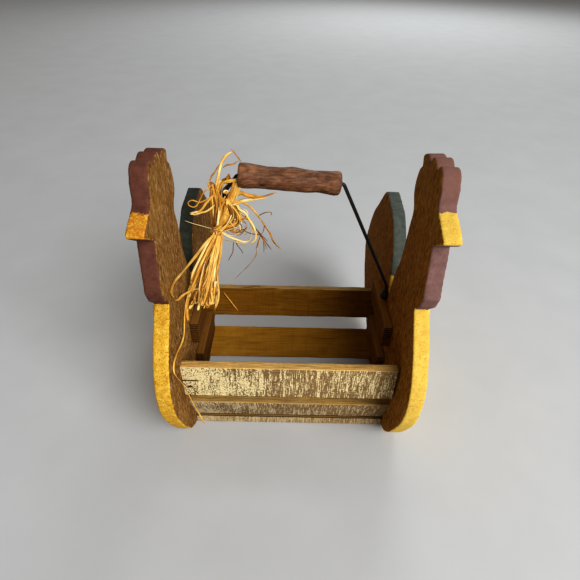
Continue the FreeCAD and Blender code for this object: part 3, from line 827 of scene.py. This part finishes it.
# The strand that hangs from the knot over the front slats: part.py's own points.
LONG_STRAND = [
    (-60.5, -20.5, 163.5), (-68, -31, 150), (-76.5, -41.5, 137), (-80.8, -52, 125),
    (-81.2, -61.5, 115), (-80.6, -70, 107), (-81, -80.5, 107), (-81.4, -92, 110),
    (-81.8, -102.5, 108.5), (-81.6, -104, 101.5), (-80, -98.5, 88.5), (-78.8, -94.5, 74),
    (-76.4, -90.5, 50), (-74.2, -85.5, 28.5), (-73.3, -83, 15),
]
LONG_STRAND_WIDE = 1.3
LONG_STRAND_THICK = 0.5


def spline_line(route):
    """Points read from a NURBS spline that has a route's points as its control points."""
    curve = bpy.data.curves.new("route", "CURVE")
    curve.dimensions = "3D"
    curve.resolution_u = 16
    spline = curve.splines.new("NURBS")
    spline.points.add(len(route) - 1)
    for control, point in zip(spline.points, route):
        control.co = (*(c * MM for c in point), 1)
    spline.order_u = 3
    spline.use_endpoint_u = True
    holder = bpy.data.objects.new("route", curve)
    bpy.context.collection.objects.link(holder)
    read = final_mesh(holder)
    line = [vertex.co.copy() for vertex in read.vertices]
    bpy.data.meshes.remove(read)
    return line


def make_long_strand(material):
    """The one free cord: from the knot it hangs over the front slats and lies on them at its foot.
    """
    line = spline_line(LONG_STRAND)
    strands = Strands(seed=3)
    strands.follow(
        [p / MM for p in line], LONG_STRAND_WIDE, tone=0.62, thick=LONG_STRAND_THICK,
        turn=20, twist=1.5, cup=0.0, taper=(1.0, 0.8),
    )
    piece = strands.piece("hanging_strand", material, "raffia_long_strand")
    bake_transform(piece)


def make_side_loop(material):
    """A broad strand that leaves the knot, folds back by the left board and joins the tassel."""
    strands = Strands(seed=5)
    strands.add(
        [(-59.5, -19, 166), (-66, -30, 163), (-72, -44, 159.5), (-77.5, -58, 157.5),
         (-81, -70, 157), (-81.6, -77.5, 155), (-81.3, -76.5, 150)],
        2.6, 0.7, turn=15, twist=0.6, taper=(0.6, 0.9),
    )
    strands.add(
        [(-81.3, -77.5, 152), (-81.4, -74, 145), (-80.8, -67, 140), (-79, -58, 137.5),
         (-74, -49, 135), (-67, -43, 131)],
        2.2, 0.62, turn=40, twist=-1.0, taper=(0.9, 0.5),
    )
    piece = strands.piece("side_loop_strand", material, "raffia_side_loop")
    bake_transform(piece)


def make_wrap(material):
    """Loose turns over the wire, between the grip and the neck of the bow."""
    s = Strands(seed=7)
    s.add(
        [(-56, -13.5, 194), (-55, -14, 199.5), (-52.5, -14.5, 203.5), (-49.5, -14.6, 206),
         (-45, -14.6, 207.2), (-41, -14.4, 207.4), (-39, -13, 205)],
        2.4, 0.62, turn=-15,
    )
    # Side by side, down from the grip's end.
    for wide, tone, shift, turn in (
        (6.6, 0.70, -0.6, 8), (3.0, 0.92, 1.6, 25), (2.6, 0.45, -2.8, -20),
    ):
        s.add(
            [(-40 + shift, -14.3, 207.5), (-41.3 + shift, -15.2, 202),
             (-43.8 + shift, -15.8, 196), (-47.5 + shift, -16, 188.5)],
            wide, tone, turn=turn,
        )
    s.add([(-41.5, -14.6, 206.5), (-39.3, -15.6, 204), (-39.2, -15.6, 200.5)], 1.8, 0.85, turn=10)
    s.add([(-51.5, -15.6, 198.2), (-49.6, -15.9, 200.2), (-47.6, -15.6, 199.6)], 2.1, 1.0)
    s.add([(-48.6, -11, 203), (-47.6, -11.5, 207.5), (-46.6, -12.5, 211.5)], 4.0, 0.22, turn=20)
    # Behind the wire, in shade.
    s.add(
        [(-57, -7, 193), (-55.5, -6.4, 199), (-51, -6, 203.5), (-46, -6.4, 203), (-44, -7, 197)],
        3.4, 0.4,
    )
    s.add([(-53, -7, 191), (-51.5, -6, 197), (-47.5, -6, 200), (-43, -7, 199)], 3.0, 0.3, turn=30)
    # Side by side, up to the top of the wire's arm.
    for wide, tone, shift in (
        (2.4, 0.72, 0.0), (1.6, 0.4, 1.4), (1.2, 0.85, -1.6),
        (1.4, 0.55, -3.0), (2.6, 0.35, 2.6), (1.6, 0.6, 3.4),
    ):
        s.add(
            [(-57 + shift, -13, 190), (-56.5 + shift, -14, 197), (-54.6 + shift, -14, 202.5),
             (-52.2 + shift * 0.6, -13, 206.5)],
            wide, tone, turn=30 * shift,
        )
    piece = s.piece("wrap_strands", material, "raffia_wrap")
    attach(piece, "bail")


NECK_STRANDS = 66
# The share of the neck's strands that come from the wrap; the others start at the bow.
FROM_WRAP = 0.62
# Turns tied round the neck: height, width and tone.
KNOT_TURNS = ((172, 3.2, 0.5), (168.5, 3.6, 0.68), (165.5, 3.4, 0.58), (170.5, 2.0, 0.8))
# Half a turn's width and depth, and how much higher its right side is than its middle.
KNOT_HALF_WIDE, KNOT_HALF_DEEP, KNOT_LEAN = 4.6, 4.2, 2.2
# Each turn has this many points, so many degrees apart, and drops a little at each.
TURN_POINTS, TURN_START, TURN_STEP, TURN_DROP = 11, 200, 38, 0.15
# How far the neck moves to the left for each millimetre that it comes down.
NECK_LEAN = 0.15


def make_knot(material):
    """The neck of strands that comes down from the wrap, and the turns tied round it."""
    s = Strands(seed=11)
    uniform = s.draw.uniform
    for i in range(NECK_STRANDS):
        t = i / (NECK_STRANDS - 1)
        depth = uniform(-2.6, 2.4)
        if t < FROM_WRAP:
            top = (-60 + 7 * t, -14.2 + depth * 0.7, uniform(198, 205))
        else:
            rest = (t - FROM_WRAP) / (1 - FROM_WRAP)
            top = (-50 + 6 * rest, -14.8 + depth * 0.5, uniform(190, 197))
        s.add(
            [
                s.near(top, 0.8),
                s.near((-61.5 + 12.5 * t, -14.8 + depth, 189), 0.9),
                s.near((-61.5 + 8.5 * t, -15.6 + depth, 178), 0.8),
                s.near((-60.3 + 3.6 * t, -16.2 + depth * 0.8, 167), 0.4),
            ],
            uniform(0.8, 2.6),
            s.draw.choice((0.1, 0.2, 0.3, 0.4, 0.5, 0.6, 0.75)),
            turn=uniform(-60, 60),
            twist=uniform(-2, 2),
        )
    front = [(-54, -17.5, 190), (-55.5, -18.5, 182), (-57, -19.5, 174), (-58.5, -20.5, 166)]
    s.add(front, 1.7, 0.95)
    for height, wide, tone in KNOT_TURNS:
        ring = []
        for k in range(TURN_POINTS):
            angle = math.radians(TURN_START + TURN_STEP * k)
            ring.append((
                KNOT[0] - NECK_LEAN * (KNOT[2] - height) + KNOT_HALF_WIDE * math.cos(angle),
                KNOT[1] + KNOT_HALF_DEEP * math.sin(angle),
                height + KNOT_LEAN * math.cos(angle) - TURN_DROP * k,
            ))
        s.add(ring, wide, tone, turn=90, cup=-0.05)
    piece = s.piece("neck_and_knot_strands", material, "raffia_knot")
    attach(piece, "bail")


# Strands of the bow that stand clear of it: width, tone and route.
BOW_STRANDS = [
    (2.0, 0.80, [(-57, -15, 194), (-56, -15, 203), (-54, -16, 210), (-52, -16, 217),
        (-50, -15, 222), (-47, -15, 226), (-43, -14, 228)]),
    (0.9, 0.35, [(-43.5, -14, 230), (-42, -14, 228), (-40, -13, 224.5), (-37.5, -11.5, 220)]),
    (1.1, 0.45, [(-60, -15, 196), (-61, -15, 204), (-59, -15, 210), (-56, -16, 214),
        (-52, -16, 220)]),
    (1.0, 0.35, [(-50, -15, 217), (-47, -15, 219), (-43, -15, 219.5), (-40, -14, 221),
        (-38, -12.5, 221)]),
    (1.0, 0.4, [(-62, -15, 207), (-60.5, -16, 200), (-58, -17, 194)]),
    (0.8, 0.3, [(-62, -15, 203), (-60, -15, 206), (-57.5, -15, 205), (-57, -16, 200)]),
    (0.9, 0.55, [(-58, -16, 205), (-65, -17, 199), (-68, -18, 194), (-71, -18, 189),
        (-74, -18, 187.5), (-77, -18, 189), (-77, -18, 191.5), (-74, -17, 192.5), (-69, -17, 191),
        (-64, -17, 193), (-58, -17, 197)]),
    (1.5, 0.62, [(-59, -17, 196), (-64, -18, 191), (-67, -19, 187), (-70, -19, 184.5),
        (-75, -19, 183)]),
    (2.6, 0.98, [(-71, -19, 184.5), (-74, -19, 183.5), (-76.5, -19, 182.5), (-74, -18.5, 181.5),
        (-70, -18.5, 182.5)]),
    (1.5, 0.8, [(-76, -18.5, 182), (-73, -18, 181.5), (-69, -18, 183), (-64, -18, 184.5),
        (-58, -17, 189)]),
    (0.35, 0.9, [(-81.5, -18, 176), (-75, -18, 173.5), (-66, -17.5, 170.5), (-59, -17, 168)]),
    (3.0, 0.5, [(-51, -15, 198), (-42, -15, 197.5), (-38, -15.5, 198.5), (-34, -16, 197),
        (-28, -16, 196), (-24, -17, 196)]),
    (1.2, 0.42, [(-30, -16, 196), (-24, -17, 196.5), (-18, -18, 198.5), (-12.5, -18.5, 201)]),
    (3.2, 0.85, [(-51, -15, 187), (-43, -16, 190), (-38, -16, 192), (-34, -16, 193),
        (-29, -16, 194), (-24, -16.5, 195)]),
    (1.4, 0.7, [(-30, -16, 194), (-24, -16.5, 195), (-19, -17, 196)]),
    (1.5, 0.6, [(-50, -15, 189), (-43, -16, 192), (-38, -16, 191), (-34, -16, 189), (-30, -16, 185),
        (-27, -16, 181), (-24, -16, 176)]),
    (1.3, 0.42, [(-25, -16, 178), (-21, -16, 171), (-18, -16, 166), (-16, -16, 160),
        (-13, -16, 155), (-9, -16, 151)]),
    (0.8, 0.35, [(-18, -16, 166), (-17, -16, 162), (-13, -17, 156.5)]),
    (1.6, 0.78, [(-52, -16, 188), (-43, -16.5, 190), (-40, -17, 186), (-36, -17, 183),
        (-33, -17, 177), (-31, -16, 173), (-29, -16, 167), (-28.8, -16, 161), (-31, -16, 157),
        (-34, -16, 156), (-39, -16, 155), (-45, -16, 157), (-51, -17, 159), (-55, -18, 162),
        (-58, -18, 166)]),
    (1.2, 0.68, [(-50, -15, 189), (-42, -15, 185), (-39, -15, 181), (-34, -15, 176),
        (-32, -15, 173), (-31, -15, 168), (-33, -15, 161)]),
    (1.5, 0.82, [(-32.5, -15, 161), (-35, -15, 157.5), (-38, -15, 156.5), (-44, -15, 158.5),
        (-50, -16, 162), (-57, -17, 168)]),
    (3.4, 0.55, [(-48, -16, 190), (-47, -17.5, 184), (-50, -18, 177), (-56, -18, 169)]),
    (3.0, 0.72, [(-45, -16, 189), (-44.5, -17.5, 184), (-48, -18.5, 176), (-56, -18.5, 167)]),
    (2.8, 0.45, [(-43, -15, 190), (-42, -16, 183), (-46, -17, 175), (-54, -17, 167)]),
    (2.4, 0.6, [(-50, -17, 190), (-51, -18.5, 184), (-54, -19, 177), (-58, -19, 170)]),
    (1.3, 0.75, [(-41, -16, 186), (-40, -17, 180), (-44, -17.5, 172), (-53, -17.5, 167)]),
    (5.0, 0.62, [(-49, -16, 194), (-47.5, -17.5, 188), (-50, -18, 181), (-54.5, -18, 173)]),
    (4.4, 0.5, [(-54, -15.5, 196), (-51.5, -16, 189), (-52.5, -17, 181), (-56, -17.5, 172)]),
    (1.0, 0.9, [(-46, -17.5, 190), (-45.5, -18.5, 184), (-49, -19.5, 176), (-56, -19, 168)]),
]

# Fine dark fibres and bits beside and below the bow.
BOW_FIBRES = [
    [(-40, -14, 168), (-34, -14, 164), (-25, -14, 162), (-20, -14, 157)],
    [(-30, -14, 170), (-25, -14, 162), (-20, -14, 154), (-17, -14, 149)],
    [(-22, -14, 172), (-23, -14, 166), (-26, -14, 160), (-29, -14, 150)],
    [(-27, -14, 164), (-25, -14, 161), (-22, -14, 155), (-21, -14, 150)],
    [(-29, -14, 168), (-25, -14, 163), (-23, -14, 156), (-23, -14, 146)],
    [(-26, -14, 179.5), (-22.5, -14, 181.5), (-19, -14, 182.5), (-16.5, -14, 182), (-17, -14, 180)],
    [(-46, -14, 157), (-47, -14, 153), (-48, -14, 146), (-51, -14, 140), (-52, -14, 138)],
    [(-45, -14, 157), (-44, -14, 153), (-41, -14, 148), (-40, -14, 145)],
]

# A long thin strand that hangs from the bow's right side to the tassel's foot.
DANGLING_STRAND = [
    (-26, -13, 160), (-28, -12.5, 151), (-29, -12, 144), (-31, -12, 139), (-35, -12, 133),
    (-42, -12, 125), (-49, -12, 117), (-57, -12, 108),
]
BOW_FIBRE_WIDE = 0.7
LOOPS_IN_BOW = 22
CURLED_FIBRES = 64
HANGING_FIBRES = 18


def make_bow(material):
    """Loops and loose ends round the neck, with a frayed tangle of fine fibres inside."""
    s = Strands(seed=17)
    uniform, choice = s.draw.uniform, s.draw.choice
    for wide, tone, route in BOW_STRANDS:
        s.add(route, wide, tone, turn=uniform(-35, 35), twist=uniform(-1, 1))
    for route in BOW_FIBRES:
        s.add(route, BOW_FIBRE_WIDE, uniform(0.02, 0.25), taper=(1.0, 0.6))
    s.add(DANGLING_STRAND, 1.0, 0.6, twist=2.0)
    # Loops that run from the right of the neck round to the knot, one inside another.
    for _ in range(LOOPS_IN_BOW):
        reach = uniform(0, 1)
        deep = uniform(-19, -13)
        s.add(
            [
                s.near((-50 + 3 * reach, deep + 2, 190), 1.0),
                s.near((-47.5 + 7 * reach, deep, 185.5 - 2 * reach), 1.2),
                s.near((-49 + 9 * reach, deep, 177 - 3 * reach), 1.2),
                s.near((-58, -17.5, 168), 0.8),
            ],
            uniform(0.7, 2.4),
            choice((0.15, 0.3, 0.45, 0.6, 0.8)),
            turn=uniform(-60, 60),
        )
    # The frayed tangle inside the bow: curled fibres, and some that hang from the neck.
    for _ in range(CURLED_FIBRES):
        middle = (uniform(-50, -39), uniform(-18, -13), uniform(169, 181))
        reach = uniform(1.8, 5.5)
        start = uniform(0, 2 * math.pi)
        curl = choice((-0.5, 0.45, 0.6))
        tip = uniform(-1.5, 1.5)
        route = []
        for k in range(choice((5, 6, 8))):
            angle = start + curl * k
            near = reach * (1 + 0.08 * k)
            route.append((
                middle[0] + near * math.cos(angle),
                middle[1] + tip * k / 4,
                middle[2] + near * math.sin(angle) * 0.9 - 0.3 * k,
            ))
        s.add(route, uniform(0.45, 1.0), choice((0.05, 0.2, 0.4, 0.6, 0.8, 1.0)))
    for _ in range(HANGING_FIBRES):
        left = uniform(-52, -45)
        foot = (uniform(-49, -40), uniform(-18, -13), uniform(166, 176))
        top = (left, uniform(-18, -13), uniform(178, 184))
        route = [top, s.near((-45, -16, 178), 2.5), foot]
        s.add(route, uniform(0.4, 0.9), choice((0.2, 0.45, 0.7, 0.95)))
    piece = s.piece("bow_strands", material, "raffia_bow")
    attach(piece, "bail")


def make_fallen_bit(material):
    """A short cut strand that lies against the back slat."""
    s = Strands(seed=19)
    route = [(-65, 20.2, 77), (-61, 19.6, 70.5), (-56.5, 18.8, 63), (-52, 18, 56)]
    s.add(route, 1.0, 0.62, taper=(0.5, 0.5))
    piece = s.piece("fallen_strand", material)
    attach(piece, "crate")


TASSEL_STRANDS = 44
TASSEL_FIBRES = 26
FOLDED_BACK_SHARE = 0.25
# Strands of the tassel that follow the photograph one by one: width, tone and route.
TASSEL_ROUTES = [
    (1.7, 0.8, [(-60, -19, 167), (-66, -27, 159), (-71, -33, 151), (-76, -38, 142),
        (-78, -40, 134)]),
    (2.2, 0.55, [(-59, -20, 165), (-68, -33, 151), (-74, -42, 138), (-80, -47, 124),
        (-81.5, -50.5, 114), (-81.5, -52.5, 106)]),
    (2.6, 0.62, [(-57, -20, 165), (-62, -32, 150), (-69, -43, 134), (-72, -48, 123)]),
    (2.4, 0.7, [(-56, -19.5, 165), (-58, -30, 152), (-64, -42, 135), (-66, -49, 121)]),
    (1.8, 0.55, [(-54.5, -18.5, 166), (-55, -28, 155), (-58, -38, 141), (-59.5, -44, 126)]),
]


def make_tassel(material):
    """Cut and folded ends that hang forward from the knot, wider towards their foot."""
    s = Strands(seed=23)
    uniform, choice = s.draw.uniform, s.draw.choice
    for i in range(TASSEL_STRANDS):
        t = (i + uniform(0, 1)) / TASSEL_STRANDS
        back = uniform(-1, 1)
        foot = Vector((-80 + 22 * t, -48.5 + 3.5 * back, 124 + 4 * back + uniform(-5, 3)))
        top = Vector((-61 + 6 * t, -18.5 + 2.0 * back, 164 + 1.5 * back))
        sag = Vector((0, -2.0, -2.0)) * uniform(0.2, 1.2)
        middle = top.lerp(foot, 0.5) + sag
        low = top.lerp(foot, 0.8) + sag * 0.6
        route = [
            tuple(top),
            s.near(top.lerp(middle, 0.5), (0.5, 0.8, 0.8)),
            s.near(middle, (1.3, 1.4, 1.2)),
            s.near(low, (1.6, 1.6, 1.2)),
            tuple(foot),
        ]
        if s.draw.random() < FOLDED_BACK_SHARE:
            route.append(s.near(foot + Vector((1.8, 1.5, 1.0)), 0.4))
            route.append(s.near(foot + Vector((2.4, 2.0, 9.0)), 0.8))
        s.add(
            route,
            uniform(1.4, 3.4),
            choice((0.2, 0.35, 0.5, 0.6, 0.7, 0.85)),
            turn=uniform(-70, 70),
            twist=uniform(-1.5, 1.5),
            taper=(0.7, 0.75),
        )
    for wide, tone, route in TASSEL_ROUTES:
        s.add(route, wide, tone, turn=uniform(-20, 20), taper=(0.7, 0.8))
    for _ in range(TASSEL_FIBRES):
        foot = Vector((uniform(-81, -57), uniform(-53, -42), uniform(116, 134)))
        top = Vector((uniform(-61, -56), -19.5, 165))
        upper = s.near(top.lerp(foot, 0.4), 2)
        route = [tuple(top), upper, s.near(top.lerp(foot, 0.75), 2), tuple(foot)]
        s.add(route, uniform(0.4, 0.8), choice((0.15, 0.4, 0.7, 0.95)))
    piece = s.piece("tassel_strands", material, "raffia_tassel")
    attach(piece, "bail")


make_camera()
straw = raffia()
make_long_strand(straw)
make_lights()
make_floor()
make_wood()
make_metal()
make_grip()
make_side_loop(straw)
make_wrap(straw)
make_knot(straw)
make_bow(straw)
make_tassel(straw)
make_fallen_bit(straw)
